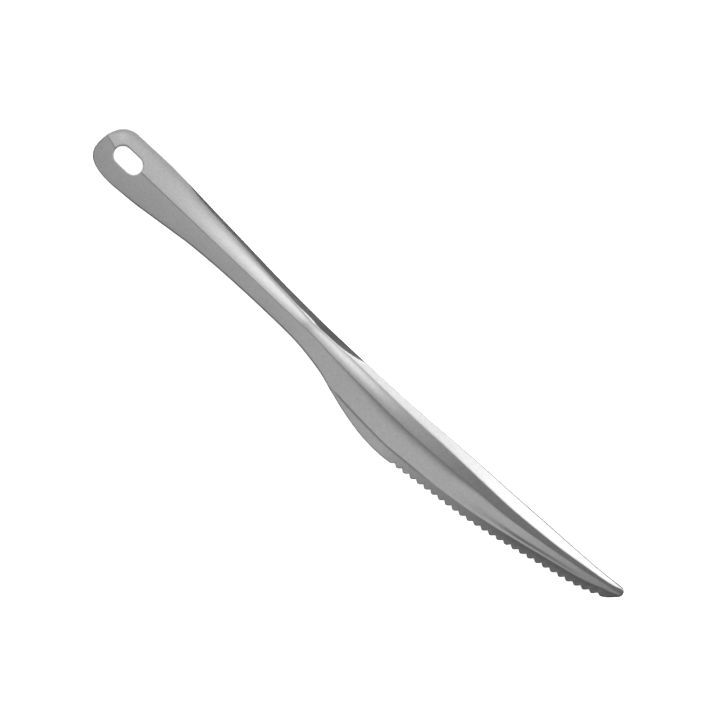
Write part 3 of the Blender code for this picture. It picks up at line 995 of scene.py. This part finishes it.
def studio_world(stage):
    """A studio that is bright on the spine's side, grey overhead and dark on the edge's side."""
    world = bpy.data.worlds.new("studio")
    bpy.context.scene.world = world
    world.use_nodes = True
    tree = world.node_tree
    background = tree.nodes["Background"]
    background.location = (1500, 0)
    coordinates = node(tree, "ShaderNodeTexCoord", (0, 0))
    split = node(tree, "ShaderNodeSeparateXYZ", (1, 0))
    tree.links.new(coordinates.outputs["Generated"], split.inputs[0])
    turn = maths(tree, (2, 0), "ARCTAN2", split.outputs["Y"], split.outputs["Z"])
    share = maths(tree, (3, 0), "MULTIPLY_ADD", turn, 0.5 / math.pi, 0.5)
    ramp = node(tree, "ShaderNodeValToRGB", (4, 0))
    tree.links.new(share, ramp.inputs["Fac"])
    stops = ramp.color_ramp.elements
    while len(stops) > 1:
        stops.remove(stops[-1])
    for i, (angle, glow) in enumerate(STUDIO_GLOW):
        stop = stops[0] if i == 0 else stops.new(angle / 360 + 0.5)
        stop.position = angle / 360 + 0.5
        stop.color = (glow, glow, glow, 1)
    towards_tip = node(tree, "ShaderNodeMapRange", (4, 3))
    for name, value in (("From Min", 0.2), ("From Max", 0.6), ("To Min", 1.0), ("To Max", 0.2)):
        towards_tip.inputs[name].default_value = value
    tree.links.new(split.outputs["X"], towards_tip.inputs["Value"])
    dimmed = node(tree, "ShaderNodeMix", (5, 1), data_type="RGBA", blend_type="MULTIPLY")
    dimmed.inputs["Factor"].default_value = 1.0
    tree.links.new(ramp.outputs["Color"], dimmed.inputs["A"])
    tree.links.new(towards_tip.outputs["Result"], dimmed.inputs["B"])
    path = node(tree, "ShaderNodeLightPath", (4, 2))
    mix = node(tree, "ShaderNodeMix", (6, 0), data_type="RGBA")
    mix.inputs["A"].default_value = (stage.fill, stage.fill, stage.fill, 1)
    tree.links.new(path.outputs["Is Glossy Ray"], mix.inputs["Factor"])
    tree.links.new(dimmed.outputs["Result"], mix.inputs["B"])
    tree.links.new(mix.outputs["Result"], background.inputs["Color"])


def studio_camera(stage):
    """A camera straight over the tool."""
    camera = bpy.data.cameras.new("camera")
    camera.lens = stage.lens
    camera.clip_start = 0.01
    holder = bpy.data.objects.new("camera", camera)
    bpy.context.collection.objects.link(holder)
    height = stage.field * stage.lens / camera.sensor_width
    face = BLANK_HIGH.z
    holder.location = (stage.aim_along, stage.aim_across, face + height)
    holder.rotation_euler = (0, 0, stage.turn)
    bpy.context.scene.camera = holder


def studio_lights():
    """A large soft light high on the spine's side, which the steel does not mirror."""
    light = bpy.data.lights.new("softbox", "AREA")
    light.shape = "RECTANGLE"
    light.size, light.size_y = 1.4, 1.0
    light.energy = 6.0
    holder = bpy.data.objects.new("softbox", light)
    holder.location = (0.1, 0.5, 1.1)
    holder.rotation_euler = (math.radians(-24), math.radians(5), 0)
    holder.visible_glossy = False
    bpy.context.collection.objects.link(holder)


class BuildStage(bpy.types.Operator):
    """Lay the floor, and set the lights and the camera"""
    bl_idname = "clay_knife.build_stage"
    bl_label = "Build Stage"

    def execute(self, context):
        stage = context.scene.knife_stage
        floor_plane(stage)
        studio_world(stage)
        studio_lights()
        studio_camera(stage)
        context.scene.view_settings.view_transform = "Standard"
        return {"FINISHED"}


class KnifePanel(bpy.types.Panel):
    """Sizes, finish and steps of the clay knife"""
    bl_idname = "VIEW3D_PT_clay_knife"
    bl_label = "Clay Knife"
    bl_space_type = "VIEW_3D"
    bl_region_type = "UI"
    bl_category = "Clay Knife"

    def draw(self, context):
        for group in ("knife_shape", "knife_teeth", "knife_finish", "knife_stage"):
            settings = getattr(context.scene, group)
            for name in settings.__annotations__:
                self.layout.prop(settings, name)
        self.layout.operator(BuildKnife.bl_idname)
        self.layout.operator(BuildStage.bl_idname)


CLASSES = (KnifeShape, KnifeTeeth, KnifeFinish, KnifeStage, BuildKnife, BuildStage, KnifePanel)


def register():
    """Registers the classes and the scene's settings."""
    for item in CLASSES:
        bpy.utils.register_class(item)
    bpy.types.Scene.knife_shape = PointerProperty(type=KnifeShape)
    bpy.types.Scene.knife_teeth = PointerProperty(type=KnifeTeeth)
    bpy.types.Scene.knife_finish = PointerProperty(type=KnifeFinish)
    bpy.types.Scene.knife_stage = PointerProperty(type=KnifeStage)


def unregister():
    """Removes what register added."""
    for name in ("knife_stage", "knife_finish", "knife_teeth", "knife_shape"):
        delattr(bpy.types.Scene, name)
    for item in reversed(CLASSES):
        bpy.utils.unregister_class(item)


def main():
    """Builds the knife and its stage."""
    register()
    bpy.ops.clay_knife.build_knife()
    bpy.ops.clay_knife.build_stage()


if __name__ == "__main__":
    main()
